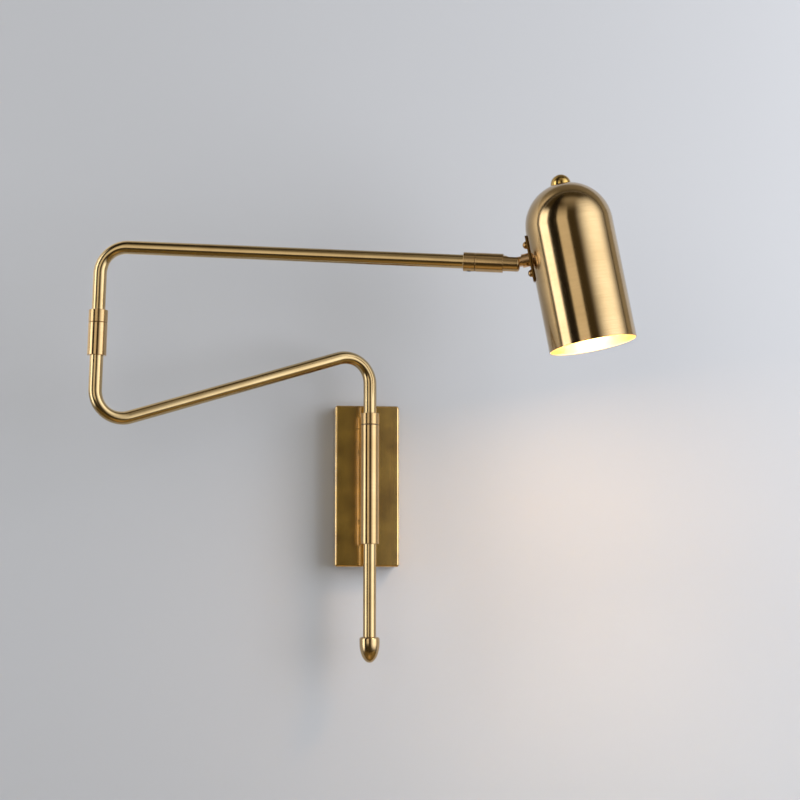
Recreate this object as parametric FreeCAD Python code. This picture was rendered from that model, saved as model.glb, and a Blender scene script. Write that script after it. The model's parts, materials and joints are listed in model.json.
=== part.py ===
import FreeCAD, Part
import math
import os

from FreeCAD import Vector

os.makedirs("parts", exist_ok=True)

# Telescopic wall sconce: a bent brass tube slides and turns in a sleeve on the backplate,
# a second bent tube turns on it at the elbow, and a bullet shade hangs from a ball joint.
# Lengths are millimetres, angles degrees. +Z is up, -Y points out of the wall, and the
# origin lies on the wall behind the middle of the backplate.

# Tube stock
tube_diameter = 12.7
tube_wall = 1.2
bend_radius = 25.4

# Fits and clearances
running_gap = 0.05
seat_gap = 0.05
seam_gap = 0.2
screw_clearance = 0.2
cut_overrun = 1.0

# Arm layout
post_gap = 24.0
post_corner_height = 133.0
lower_arm_length = 285.8
lower_arm_slope_angle = 17.5
lower_arm_swing_angle = 14.0
elbow_height = 170.6
elbow_lean_angle = 1.4
upper_arm_swing_angle = 13.4
upper_arm_droop_angle = 2.42
post_tail = 94.7

# Backplate cover
canopy_width = 64.0
canopy_height = 160.0
canopy_depth = 25.0
canopy_wall = 1.2
canopy_edge_radius = 2.2
canopy_corner_radius = 2.6

# Wall bracket, screws and wiring in the backplate
bracket_width = 24.0
bracket_thickness = 1.5
bracket_lug = 12.0
bracket_bend = 2.5
cover_gap = 0.3
wall_slot_spacing = 90.0
wall_slot_length = 14.0
wall_slot_width = 4.8
cover_screw_diameter = 3.0
cover_screw_head = 5.2
cover_screw_head_height = 1.1
cover_screw_length = 8.0
cover_screw_slot = 0.8
cover_screw_depth = 6.0
terminal_length = 34.0
terminal_height = 16.0
terminal_depth = 14.0
terminal_centre = 12.0
terminal_pitch = 10.0
terminal_screw_diameter = 3.6
terminal_screw_sink = 2.0
terminal_entry_diameter = 4.2
terminal_entry_depth = 5.0
earth_height = 22.0
small_screw_diameter = 4.0
small_head_diameter = 7.4
small_head_height = 2.6
small_washer_diameter = 9.0
small_washer_thickness = 0.8
small_slot_width = 1.0
small_slot_depth = 1.1

# Sleeve on the backplate and its spacers
sleeve_diameter = 18.0
sleeve_wall = 1.0
wall_sleeve_length = 116.4
spacer_pitch = 69.0
spacer_diameter = 15.0
spacer_bore = 6.0
spacer_stub_diameter = 9.8
spacer_stub_length = 8.0
spacer_nut_width = 14.0
spacer_nut_thickness = 3.0
spacer_screw_diameter = 5.0
spacer_screw_grip = 9.0
spacer_washer_diameter = 12.0
spacer_washer_thickness = 1.0
spacer_head_diameter = 9.2
spacer_head_height = 3.4
bush_length = 12.0
bush_inset = 1.2
sleeve_edge = 0.4

# Height collar
height_collar_length = 11.6
thrust_washer_thickness = 0.5
grub_diameter = 4.0
grub_socket_width = 2.0
grub_socket_depth = 1.3

# Window in the post through which the lead enters
window_width = 5.0
window_rim = 0.3

# Foot of the post
plug_length = 16.0
finial_radius = 9.9
finial_height = 19.6
finial_tip_cut = 0.1
finial_neck_radius = 7.5
finial_neck_height = 5.2
finial_seat_depth = 5.0
finial_stud_diameter = 6.0
finial_stud_length = 11.0

# Elbow
elbow_sleeve_start = 67.1
elbow_sleeve_length = 30.6
elbow_collar_length = 12.2
elbow_braze_length = 11.0
tube_end_gap = 1.0

# Joint at the end of the upper arm
end_collar_start = 341.1
end_collar_length = 10.8
end_sleeve_diameter = 17.5
end_sleeve_length = 25.6
end_bush_length = 16.0
socket_diameter = 14.4
socket_braze_length = 7.0
socket_end_station = 392.6
socket_end_radius = 2.4
socket_bore = 12.5
ball_station = 384.0
ball_diameter = 12.3
ball_seat_length = 4.0
neck_diameter = 9.6
neck_slot_width = 10.0
neck_bore = 4.8

# Head: stud, strip and fixings, measured along the stud from the ball's centre
head_rise_angle = 10.55
strip_face_reach = 17.5
stud_nut_diameter = 12.6
stud_nut_length = 6.6
stud_end_gap = 0.3
nut_grub_diameter = 3.2
nut_grub_proud = 0.6
nut_grub_set_back = 2.1
nut_grub_angle = 40.0
strip_length = 43.0
strip_width = 12.0
strip_thickness = 1.5
strip_rise = 0.5
strip_corner_radius = 3.0
strip_screw_pitch = 26.5
strip_screw_diameter = 4.0
strip_screw_head = 7.2
strip_screw_head_height = 3.5
strip_screw_length = 8.0
strip_nut_width = 7.0
strip_nut_thickness = 3.0
lead_hole_diameter = 6.0

# Shade
shade_diameter = 80.0
shade_wall = 1.0
shade_straight = 111.5
shade_dome_rise = 23.1

# Cap nut and lampholder
cap_nut_radius = 9.3
cap_nut_sink = 0.6
nipple_diameter = 10.0
nipple_bore = 6.6
cap_nut_thread_depth = 5.0
holder_nut_width = 14.0
holder_nut_thickness = 3.0
holder_diameter = 38.0
holder_top_diameter = 20.0
holder_shoulder = 10.0
holder_length = 48.0
holder_wall = 1.8
core_gap = 0.2
core_thickness = 9.0
holder_corner_share = 0.5
core_drop = 1.0
thread_shell_diameter = 28.0
thread_shell_wall = 0.6
thread_shell_length = 24.0
contact_width = 6.0
contact_thickness = 0.5
contact_height = 4.0
holder_terminal_pitch = 19.6

# Bulb
bulb_cap_diameter = 26.0
bulb_cap_length = 24.0
bulb_tip_diameter = 9.0
bulb_tip_length = 2.5
bulb_globe_diameter = 45.0
bulb_length = 72.0
bulb_glass_wall = 0.8
bulb_cap_taper_share = 0.8

# Leads
lead_diameter = 4.2
lead_bend_radius = 9.0
grommet_length = 5.0
post_lead_start = 20.0
canopy_lead_bend = 7.2
head_lead_in = 12.0
head_lead_rise = 37.0

# Places that follow from the sizes above
post_y = -(canopy_depth + post_gap)
tube_radius = tube_diameter / 2
tube_inside = tube_radius - tube_wall
sleeve_radius = sleeve_diameter / 2
sleeve_inside = sleeve_radius - sleeve_wall
turning_radius = tube_radius + running_gap
fixed_radius = tube_radius + seat_gap
sleeve_top = wall_sleeve_length / 2
lead_radius = lead_diameter / 2
up = Vector(0, 0, 1)
out_of_wall = Vector(0, -1, 0)


def spherical(azimuth, elevation):
    flat = math.cos(math.radians(elevation))
    east = flat * math.cos(math.radians(azimuth))
    north = flat * math.sin(math.radians(azimuth))
    return Vector(east, north, math.sin(math.radians(elevation)))


def frame_at(origin, z_axis, x_hint):
    y_axis = z_axis.cross(x_hint).normalize()
    x_axis = y_axis.cross(z_axis)
    rotation = FreeCAD.Rotation(x_axis, y_axis, z_axis, "ZXY")
    return FreeCAD.Placement(origin, rotation)


post_foot = Vector(0, post_y, -(sleeve_top + post_tail))
post_corner = Vector(0, post_y, post_corner_height)
lower_direction = spherical(180 + lower_arm_swing_angle, -lower_arm_slope_angle)
elbow_corner = post_corner + lower_direction * lower_arm_length
elbow_axis = spherical(lower_arm_swing_angle, 90 - elbow_lean_angle)
upper_corner = elbow_corner + elbow_axis * elbow_height
level_out = spherical(-upper_arm_swing_angle, 0)
square_out = (level_out - elbow_axis * level_out.dot(elbow_axis)).normalize()
droop = math.radians(upper_arm_droop_angle)
upper_direction = square_out * math.cos(droop) - elbow_axis * math.sin(droop)
ball_centre = upper_corner + upper_direction * ball_station
stud_direction = spherical(-upper_arm_swing_angle, head_rise_angle)

post_frame = FreeCAD.Placement(Vector(0, post_y, 0), FreeCAD.Rotation())
elbow_frame = frame_at(elbow_corner, elbow_axis, out_of_wall)
arm_frame = frame_at(upper_corner, upper_direction, up)
stud_frame = frame_at(ball_centre, stud_direction, up)


def save(name, shape):
    shape.exportStep("parts/" + name + ".step")
    print(name, "volume", round(shape.Volume, 1), "solids", len(shape.Solids), "valid", shape.isValid())


def put(shape, frame):
    moved = shape.copy()
    moved.Placement = frame.multiply(moved.Placement)
    return moved


def rod(radius, low, high):
    return Part.makeCylinder(radius, high - low, Vector(0, 0, low))


def ring(inner, outer, low, high):
    return rod(outer, low, high).cut(rod(inner, low - cut_overrun, high + cut_overrun))


def edged_ring(inner, outer, low, high):
    whole = ring(inner, outer, low, high)
    rims = [e for e in whole.Edges if e.Length > math.pi * (inner + outer) and len(e.Vertexes) == 1]
    return whole.makeChamfer(sleeve_edge, rims)


def rod_along(radius, start, direction, length):
    return Part.makeCylinder(radius, length, start, direction)


def hex_prism(width, low, high):
    corner = width / math.sqrt(3)
    points = [Vector(corner * math.cos(math.radians(a)), corner * math.sin(math.radians(a)), low)
              for a in range(0, 361, 60)]
    return Part.Face(Part.makePolygon(points)).extrude(Vector(0, 0, high - low))


def hex_nut(width, bore_radius, low, high):
    return hex_prism(width, low, high).cut(rod(bore_radius, low - cut_overrun, high + cut_overrun))


def group(solids):
    return Part.makeCompound(solids)


def edges_along(shape, direction):
    return [e for e in shape.Edges if abs(e.tangentAt(e.FirstParameter).dot(direction)) > math.sqrt(0.5)]


def front_edges(shape):
    return [e for e in shape.Edges if e.BoundBox.YMax < shape.BoundBox.Center.y]


def block(size_x, size_y, size_z, centre):
    corner = centre - Vector(size_x, size_y, size_z) * 0.5
    return Part.makeBox(size_x, size_y, size_z, corner)


def bent_path(points, radius):
    edges = []
    start = points[0]
    for before, corner, after in zip(points, points[1:], points[2:]):
        back = (before - corner).normalize()
        ahead = (after - corner).normalize()
        half_angle = back.getAngle(ahead) / 2
        reach = radius / math.tan(half_angle)
        bisector = (back + ahead).normalize()
        centre = corner + bisector * (radius / math.sin(half_angle))
        first = corner + back * reach
        last = corner + ahead * reach
        edges.append(Part.makeLine(start, first))
        edges.append(Part.Arc(first, centre - bisector * radius, last).toShape())
        start = last
    edges.append(Part.makeLine(start, points[-1]))
    return Part.Wire(edges)


def swept(points, bend, radius):
    path = bent_path(points, bend)
    direction = points[1] - points[0]
    circle = Part.Wire(Part.Circle(points[0], direction, radius).toShape())
    return path.makePipeShell([circle], True, False)


def turned(points, axis_point, axis):
    face = Part.Face(Part.makePolygon(points + [points[0]]))
    return face.revolve(axis_point, axis, 360)


def slotted_head(radius, height, base, slot_width, slot_depth):
    """Round head standing below base, towards lower Z, with a driver slot across it."""
    ball_radius = (radius * radius + height * height) / (2 * height)
    ball = Part.makeSphere(ball_radius, Vector(0, 0, base - height + ball_radius))
    head = ball.common(rod(radius + cut_overrun, base - height - cut_overrun, base))
    slot = block(2 * (radius + cut_overrun), slot_width, 2 * slot_depth, Vector(0, 0, base - height))
    return head.cut(slot)


# Backplate cover: a drawn box open at the wall
outer_box = block(canopy_width, canopy_depth, canopy_height, Vector(0, -canopy_depth / 2, 0))
outer_box = outer_box.makeFillet(canopy_corner_radius, edges_along(outer_box, out_of_wall))
outer_box = outer_box.makeFillet(canopy_edge_radius, front_edges(outer_box))
inner_depth = canopy_depth - canopy_wall + cut_overrun
inner_centre = Vector(0, inner_depth / 2 - canopy_depth + canopy_wall, 0)
inner_width = canopy_width - 2 * canopy_wall
inner_height = canopy_height - 2 * canopy_wall
inner_box = block(inner_width, inner_depth, inner_height, inner_centre)
inner_box = inner_box.makeFillet(canopy_corner_radius - canopy_wall, edges_along(inner_box, out_of_wall))
inner_box = inner_box.makeFillet(canopy_edge_radius - canopy_wall, front_edges(inner_box))
canopy = outer_box.cut(inner_box)
canopy_inside_y = -(canopy_depth - canopy_wall)
upper_spacer = Vector(0, -canopy_depth, spacer_pitch / 2)
lower_spacer = Vector(0, -canopy_depth, -spacer_pitch / 2)
inward = Vector(0, 1, 0)
hole_start = Vector(0, cut_overrun, 0)
hole_length = canopy_wall + 2 * cut_overrun
stub_hole_radius = spacer_stub_diameter / 2 + screw_clearance
screw_hole_radius = spacer_screw_diameter / 2 + screw_clearance
canopy = canopy.cut(rod_along(stub_hole_radius, upper_spacer - hole_start, inward, hole_length))
canopy = canopy.cut(rod_along(screw_hole_radius, lower_spacer - hole_start, inward, hole_length))

# Countersunk screws through the cover's top and bottom edges
lug_face = canopy_height / 2 - canopy_wall - cover_gap
cover_screws = []
for side in (1, -1):
    facing = FreeCAD.Rotation(Vector(0, 0, 1), Vector(0, 0, -side))
    seat = FreeCAD.Placement(Vector(0, -cover_screw_depth, side * canopy_height / 2), facing)
    cone = Part.makeCone(cover_screw_head / 2, cover_screw_diameter / 2, cover_screw_head_height)
    shank = rod(cover_screw_diameter / 2, 0, cover_screw_length)
    slot = block(cover_screw_head + cut_overrun, cover_screw_slot, cover_screw_head_height, Vector(0, 0, 0))
    cover_screws.append(put(cone.fuse(shank).removeSplitter().cut(slot), seat))
    wide = screw_clearance / 2
    cone_hole = Part.makeCone(cover_screw_head / 2 + wide, cover_screw_diameter / 2 + wide,
                              cover_screw_head_height)
    shank_hole = rod(cover_screw_diameter / 2 + wide, 0, canopy_wall + cut_overrun)
    canopy = canopy.cut(put(cone_hole, seat)).cut(put(shank_hole, seat))
save("canopy", canopy)
save("canopy_screws", group(cover_screws))

# Wall bracket: folded strip with two lugs
bracket_height = 2 * lug_face
bracket = block(bracket_width, bracket_lug, bracket_height, Vector(0, -bracket_lug / 2, 0))
outer_folds = [e for e in edges_along(bracket, Vector(1, 0, 0)) if e.BoundBox.YMax > -bracket_lug / 2]
bracket = bracket.makeFillet(bracket_bend, outer_folds)
hollow_centre = Vector(0, -bracket_lug / 2 - bracket_thickness, 0)
hollow_height = bracket_height - 2 * bracket_thickness
hollow = block(bracket_width + cut_overrun, bracket_lug, hollow_height, hollow_centre)
inner_folds = [e for e in edges_along(hollow, Vector(1, 0, 0)) if e.BoundBox.YMax > hollow_centre.y]
bracket = bracket.cut(hollow.makeFillet(bracket_bend - bracket_thickness, inner_folds))
cut_depth = bracket_thickness + 2 * cut_overrun
straight = wall_slot_length - wall_slot_width
for side in (1, -1):
    slot_centre = Vector(0, -bracket_thickness / 2, side * wall_slot_spacing / 2)
    bracket = bracket.cut(block(wall_slot_width, cut_depth, straight, slot_centre))
    for end in (1, -1):
        round_centre = Vector(0, cut_overrun, side * wall_slot_spacing / 2 + end * straight / 2)
        bracket = bracket.cut(rod_along(wall_slot_width / 2, round_centre, out_of_wall, cut_depth))
    lug_hole = Vector(0, -cover_screw_depth, side * (lug_face + cut_overrun))
    hole_radius = cover_screw_diameter / 2 + seat_gap
    bracket = bracket.cut(rod_along(hole_radius, lug_hole, Vector(0, 0, -side), cut_depth))
fixing_radius = small_screw_diameter / 2 + seat_gap
for height in (terminal_centre, -earth_height):
    hole_at = Vector(0, cut_overrun, height)
    bracket = bracket.cut(rod_along(fixing_radius, hole_at, out_of_wall, cut_depth))
save("wall_bracket", bracket)

# Terminal block: three poles, each with two clamp screws
block_front = -(bracket_thickness + terminal_depth)
block_centre = Vector(0, -(bracket_thickness + terminal_depth / 2), terminal_centre)
terminal = block(terminal_length, terminal_depth, terminal_height, block_centre)
clamp_screws = []
sink_radius = terminal_screw_diameter / 2 + seat_gap
entry_low = terminal_centre - terminal_height / 2 - cut_overrun
for pole in (-1, 0, 1):
    entry = Vector(pole * terminal_pitch, block_centre.y, entry_low)
    entry_length = terminal_entry_depth + cut_overrun
    terminal = terminal.cut(rod_along(terminal_entry_diameter / 2, entry, up, entry_length))
    for row in (-1, 1):
        height = terminal_centre + row * terminal_height / 4
        mouth = Vector(pole * terminal_pitch, block_front - cut_overrun, height)
        sink = terminal_depth / 2
        terminal = terminal.cut(rod_along(sink_radius, mouth, inward, sink + cut_overrun))
        screw_start = Vector(pole * terminal_pitch, block_front + terminal_screw_sink, height)
        screw = rod_along(terminal_screw_diameter / 2, screw_start, inward, sink - terminal_screw_sink)
        notch = block(terminal_screw_diameter, small_slot_width, small_slot_width, screw_start)
        clamp_screws.append(screw.cut(notch))
fixing_start = Vector(0, block_front - cut_overrun, terminal_centre)
terminal = terminal.cut(rod_along(fixing_radius, fixing_start, inward, terminal_depth + 2 * cut_overrun))
save("terminal_block", terminal)
save("terminal_screws", group(clamp_screws))

# Screw that holds the terminal block, and the earth screw with its washer
inward_frame = FreeCAD.Rotation(Vector(0, 0, 1), Vector(0, 1, 0))
block_head = slotted_head(terminal_screw_diameter / 2 + small_slot_width, small_slot_depth * 2, 0,
                          small_slot_width, small_slot_depth)
block_shank = rod(small_screw_diameter / 2, 0, terminal_depth + bracket_thickness)
block_screw = block_head.fuse(block_shank).removeSplitter()
block_screw_frame = FreeCAD.Placement(Vector(0, block_front, terminal_centre), inward_frame)
save("terminal_fixing_screw", put(block_screw, block_screw_frame))
earth_head = slotted_head(small_head_diameter / 2, small_head_height, -small_washer_thickness,
                          small_slot_width, small_slot_depth)
earth_shank = rod(small_screw_diameter / 2, -small_washer_thickness, bracket_thickness)
earth_frame = FreeCAD.Placement(Vector(0, -bracket_thickness, -earth_height), inward_frame)
save("earth_screw", put(earth_head.fuse(earth_shank).removeSplitter(), earth_frame))
earth_washer = ring(fixing_radius, small_washer_diameter / 2, -small_washer_thickness, 0)
save("earth_washer", put(earth_washer, earth_frame))

# Spacers between backplate and sleeve: the upper one is hollow for the lead
saddle = put(rod(sleeve_radius + seat_gap, -wall_sleeve_length, wall_sleeve_length), post_frame)
spacer_reach = post_gap
lead_spacer = rod_along(spacer_diameter / 2, upper_spacer, out_of_wall, spacer_reach).cut(saddle)
stub_length = canopy_wall + spacer_stub_length
lead_spacer = lead_spacer.fuse(rod_along(spacer_stub_diameter / 2, upper_spacer, inward, stub_length))
bore_start = Vector(0, -canopy_depth + stub_length + cut_overrun, spacer_pitch / 2)
bore_length = stub_length + post_gap + cut_overrun
lead_spacer = lead_spacer.cut(rod_along(spacer_bore / 2, bore_start, out_of_wall, bore_length))
save("lead_spacer", lead_spacer.removeSplitter())
solid_spacer = rod_along(spacer_diameter / 2, lower_spacer, out_of_wall, spacer_reach).cut(saddle)
tapped_radius = spacer_screw_diameter / 2 + seat_gap
solid_spacer = solid_spacer.cut(rod_along(tapped_radius, lower_spacer, out_of_wall,
                                          spacer_screw_grip + seam_gap))
save("solid_spacer", solid_spacer)

spacer_frame = FreeCAD.Rotation(Vector(0, 0, 1), Vector(0, 1, 0))
nut_place = FreeCAD.Placement(Vector(0, canopy_inside_y, spacer_pitch / 2), spacer_frame)
stub_clear = spacer_stub_diameter / 2 + seat_gap
save("spacer_nut", put(hex_nut(spacer_nut_width, stub_clear, 0, spacer_nut_thickness), nut_place))
washer_place = FreeCAD.Placement(Vector(0, canopy_inside_y, -spacer_pitch / 2), spacer_frame)
washer = ring(screw_hole_radius, spacer_washer_diameter / 2, 0, spacer_washer_thickness)
save("spacer_washer", put(washer, washer_place))
outward_frame = FreeCAD.Rotation(Vector(0, 0, 1), Vector(0, -1, 0))
screw_head = slotted_head(spacer_head_diameter / 2, spacer_head_height, 0,
                          small_slot_width, small_slot_depth)
grip = spacer_washer_thickness + canopy_wall + spacer_screw_grip
screw_place = FreeCAD.Placement(
    Vector(0, canopy_inside_y + spacer_washer_thickness, -spacer_pitch / 2), outward_frame)
spacer_screw = screw_head.fuse(rod(spacer_screw_diameter / 2, 0, grip)).removeSplitter()
save("spacer_screw", put(spacer_screw, screw_place))

# Sleeve with a plain bush pressed in at each end
wall_sleeve = put(edged_ring(sleeve_inside, sleeve_radius, -sleeve_top, sleeve_top), post_frame)
lead_port = Vector(0, -canopy_depth, spacer_pitch / 2)
wall_sleeve = wall_sleeve.cut(rod_along(spacer_bore / 2, lead_port, out_of_wall, post_gap))
save("wall_sleeve", wall_sleeve)
bush_outside = sleeve_inside - seat_gap
bush_top = sleeve_top - bush_inset
upper_bush = ring(turning_radius, bush_outside, bush_top - bush_length, bush_top)
lower_bush = ring(turning_radius, bush_outside, -bush_top, bush_length - bush_top)
save("sleeve_bushes", put(group([upper_bush, lower_bush]), post_frame))


def grub(diameter, from_axis, to_axis):
    screw = rod(diameter / 2, from_axis, to_axis)
    return screw.cut(hex_prism(grub_socket_width * diameter / grub_diameter, to_axis - grub_socket_depth,
                               to_axis + cut_overrun))


def collar(bore_radius, outer_radius, low, high, grub_direction):
    """Ring with one tapped radial hole, and the grub screw that fills it."""
    middle = Vector(0, 0, (low + high) / 2)
    whole = edged_ring(bore_radius, outer_radius, low, high)
    tap = rod_along(grub_diameter / 2 + seat_gap, middle, grub_direction, outer_radius + cut_overrun)
    facing = FreeCAD.Placement(middle, FreeCAD.Rotation(Vector(0, 0, 1), grub_direction))
    screw = put(grub(grub_diameter, tube_radius + running_gap, outer_radius), facing)
    return whole.cut(tap), screw


# Height collar: clamped on the post by a grub screw, it carries the arm on the sleeve
washer_top = sleeve_top + thrust_washer_thickness
collar_top = sleeve_top + height_collar_length
thrust_washer = ring(turning_radius, sleeve_radius - sleeve_edge, sleeve_top, washer_top)
save("thrust_washer", put(thrust_washer, post_frame))
height_collar, height_grub = collar(turning_radius, sleeve_radius, washer_top, collar_top, inward)
save("height_collar", put(height_collar, post_frame))
save("height_grub_screw", put(height_grub, post_frame))

# Lower tube: post, sloping arm and the upright that carries the elbow
lower_tube_end = elbow_sleeve_start + elbow_braze_length
lower_points = [post_foot, post_corner, elbow_corner, elbow_corner + elbow_axis * lower_tube_end]
lower_tube = swept(lower_points, bend_radius, tube_radius).cut(swept(lower_points, bend_radius, tube_inside))
window_low = -sleeve_top + window_rim
window_high = washer_top
window_turn = FreeCAD.Rotation(up, 90 - lower_arm_swing_angle)
window_height = window_high - window_low
window_centre = Vector(0, tube_radius, (window_low + window_high) / 2)
window = block(window_width, tube_diameter, window_height, window_centre)
window_place = FreeCAD.Placement(Vector(0, post_y, 0), window_turn.inverted())
save("lower_tube", lower_tube.cut(put(window, window_place)))

# Plug in the post's foot, and the acorn finial screwed into it
foot_z = -(sleeve_top + post_tail)
plug = rod(tube_inside - seat_gap, foot_z, foot_z + plug_length)
stud_radius = finial_stud_diameter / 2
plug = plug.cut(rod(stud_radius + seat_gap, foot_z - cut_overrun, foot_z + finial_stud_length + seam_gap))
save("tail_plug", put(plug, post_frame))
widest_z = foot_z + finial_seat_depth - finial_neck_height
tip_z = widest_z - finial_height + finial_tip_cut
tip_share = (widest_z - tip_z) / finial_height
tip_radius = finial_radius * math.sqrt(1 - tip_share * tip_share)
finial_top = foot_z + finial_seat_depth
oval = Part.Ellipse(Vector(0, 0, widest_z - finial_height), Vector(finial_radius, 0, widest_z),
                    Vector(0, 0, widest_z))
tip_point = Vector(tip_radius, 0, tip_z)
belly = Part.ArcOfEllipse(oval, oval.parameter(tip_point), math.pi / 2)
widest = Vector(finial_radius, 0, widest_z)
shoulder_high = Vector(finial_neck_radius, 0, finial_top)
round_in = finial_radius - finial_neck_radius
shoulder_start = Vector(finial_radius, 0, finial_top - round_in)
shoulder_middle = Vector(finial_radius - round_in * (1 - math.sqrt(0.5)), 0,
                         finial_top - round_in * (1 - math.sqrt(0.5)))
finial_outline = Part.Wire([
    Part.makeLine(Vector(0, 0, tip_z), tip_point),
    belly.toShape(),
    Part.makeLine(widest, shoulder_start),
    Part.Arc(shoulder_start, shoulder_middle, shoulder_high).toShape(),
    Part.makeLine(shoulder_high, Vector(0, 0, finial_top)),
    Part.makeLine(Vector(0, 0, finial_top), Vector(0, 0, tip_z)),
])
finial = Part.Face(finial_outline).revolve(Vector(0, 0, 0), up, 360)
finial = finial.cut(rod(fixed_radius, foot_z, finial_top + cut_overrun))
finial = finial.fuse(rod(stud_radius, foot_z - finial_stud_length / 2, foot_z + finial_stud_length))
save("finial", put(finial.removeSplitter(), post_frame))

# Elbow: stepped sleeve brazed to the lower tube, a bush in it, and the collar above
elbow_sleeve_end = elbow_sleeve_start + elbow_sleeve_length
elbow_sleeve = edged_ring(fixed_radius, sleeve_radius, elbow_sleeve_start, elbow_sleeve_end)
elbow_sleeve = elbow_sleeve.cut(rod(sleeve_inside, lower_tube_end, elbow_sleeve_end + cut_overrun))
save("elbow_sleeve", put(elbow_sleeve, elbow_frame))
elbow_bush_top = elbow_sleeve_end - bush_inset
elbow_bush = ring(turning_radius, bush_outside, lower_tube_end + seam_gap, elbow_bush_top)
save("elbow_bush", put(elbow_bush, elbow_frame))
elbow_collar_low = elbow_sleeve_end + seam_gap
elbow_collar_high = elbow_sleeve_end + elbow_collar_length
elbow_collar, elbow_grub = collar(fixed_radius, sleeve_radius, elbow_collar_low, elbow_collar_high,
                                  Vector(-1, 0, 0))
save("elbow_collar", put(elbow_collar, elbow_frame))
save("elbow_grub_screw", put(elbow_grub, elbow_frame))

# Upper tube
end_collar_end = end_collar_start + end_collar_length
end_sleeve_end = end_collar_end + end_sleeve_length
socket_start = end_sleeve_end - socket_braze_length
upper_tube_end = socket_start - tube_end_gap
upper_tube_start = elbow_corner + elbow_axis * (lower_tube_end + tube_end_gap)
upper_points = [upper_tube_start, upper_corner, upper_corner + upper_direction * upper_tube_end]
upper_tube = swept(upper_points, bend_radius, tube_radius).cut(swept(upper_points, bend_radius, tube_inside))
save("upper_tube", upper_tube)
end_collar, end_grub = collar(fixed_radius, end_sleeve_diameter / 2, end_collar_start, end_collar_end,
                              Vector(-1, 0, 0))
save("end_collar", put(end_collar, arm_frame))
save("end_grub_screw", put(end_grub, arm_frame))

# Swivel sleeve that turns on the end of the upper tube, and the ball socket brazed into it
end_sleeve_low = end_collar_end + seam_gap
end_bush_radius = end_sleeve_diameter / 2 - sleeve_wall
socket_radius = socket_diameter / 2
swivel_sleeve = edged_ring(socket_radius + seat_gap, end_sleeve_diameter / 2, end_sleeve_low, end_sleeve_end)
swivel_sleeve = swivel_sleeve.cut(rod(end_bush_radius, end_sleeve_low - cut_overrun, socket_start))
save("swivel_sleeve", put(swivel_sleeve, arm_frame))
end_bush_low = end_sleeve_low + bush_inset
end_bush = ring(turning_radius, end_bush_radius - seat_gap, end_bush_low, end_bush_low + end_bush_length)
save("swivel_bush", put(end_bush, arm_frame))

socket = rod(socket_radius, socket_start, socket_end_station)
mouth_rim = [e for e in socket.Edges
             if e.BoundBox.ZMin > socket_end_station - socket_end_radius and len(e.Vertexes) == 1]
socket = socket.makeFillet(socket_end_radius, mouth_rim)
cavity_radius = socket_bore / 2
ball_space = Part.makeSphere(cavity_radius, Vector(0, 0, ball_station))
socket = socket.cut(rod(cavity_radius, socket_start + sleeve_wall, ball_station)).cut(ball_space)
socket = socket.cut(rod(neck_slot_width / 2, ball_station, socket_end_station + cut_overrun))
slot_length = socket_end_station - ball_station + cut_overrun
neck_slot = Part.makeBox(socket_radius + cut_overrun, neck_slot_width, slot_length,
                         Vector(0, -neck_slot_width / 2, ball_station))
slot_end = rod_along(neck_slot_width / 2, Vector(0, 0, ball_station), Vector(1, 0, 0),
                     socket_radius + cut_overrun)
socket = socket.cut(neck_slot).cut(slot_end)
lead_way = lead_radius + screw_clearance
socket = socket.cut(rod(lead_way, socket_start - cut_overrun, socket_start + sleeve_wall + cut_overrun))
save("ball_socket", put(socket, arm_frame))

ball_radius = ball_diameter / 2
seat_end = ball_station - neck_diameter / 2 - seam_gap
seat = ring(lead_way, cavity_radius - seat_gap, seat_end - ball_seat_length, seat_end)
seat = seat.cut(Part.makeSphere(ball_radius + seat_gap, Vector(0, 0, ball_station)))
save("ball_seat", put(seat, arm_frame))
spring_end = seat_end - ball_seat_length
spring_start = socket_start + sleeve_wall
spring = ring(cavity_radius - sleeve_wall, cavity_radius - 2 * seat_gap, spring_start, spring_end)
save("seat_spring", put(spring, arm_frame))

# Ball stud: hollow, with the ball in the socket and the thread in the nut on the head
stud_end = strip_face_reach - stud_end_gap
stud = Part.makeSphere(ball_radius).fuse(rod(neck_diameter / 2, 0, stud_end)).removeSplitter()
stud = stud.cut(rod(neck_bore / 2, -ball_diameter, stud_end + cut_overrun))
save("ball_stud", put(stud, stud_frame))

# Nut brazed on the strip, with the small screw that locks it on the stud
nut_low = strip_face_reach - stud_nut_length
nut_bore = neck_diameter / 2 + running_gap
stud_nut = ring(nut_bore, stud_nut_diameter / 2, nut_low, strip_face_reach)
grub_lean = math.radians(nut_grub_angle)
nut_grub_direction = Vector(-math.sin(grub_lean), math.cos(grub_lean), 0)
nut_grub_at = Vector(0, 0, strip_face_reach - nut_grub_set_back)
nut_tap = rod_along(nut_grub_diameter / 2 + seat_gap, nut_grub_at, nut_grub_direction, stud_nut_diameter)
save("stud_nut", put(stud_nut.cut(nut_tap), stud_frame))
nut_grub_frame = FreeCAD.Placement(nut_grub_at, FreeCAD.Rotation(up, nut_grub_direction))
nut_grub = grub(nut_grub_diameter, neck_diameter / 2 + running_gap, stud_nut_diameter / 2 + nut_grub_proud)
save("stud_grub_screw", put(put(nut_grub, nut_grub_frame), stud_frame))

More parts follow.
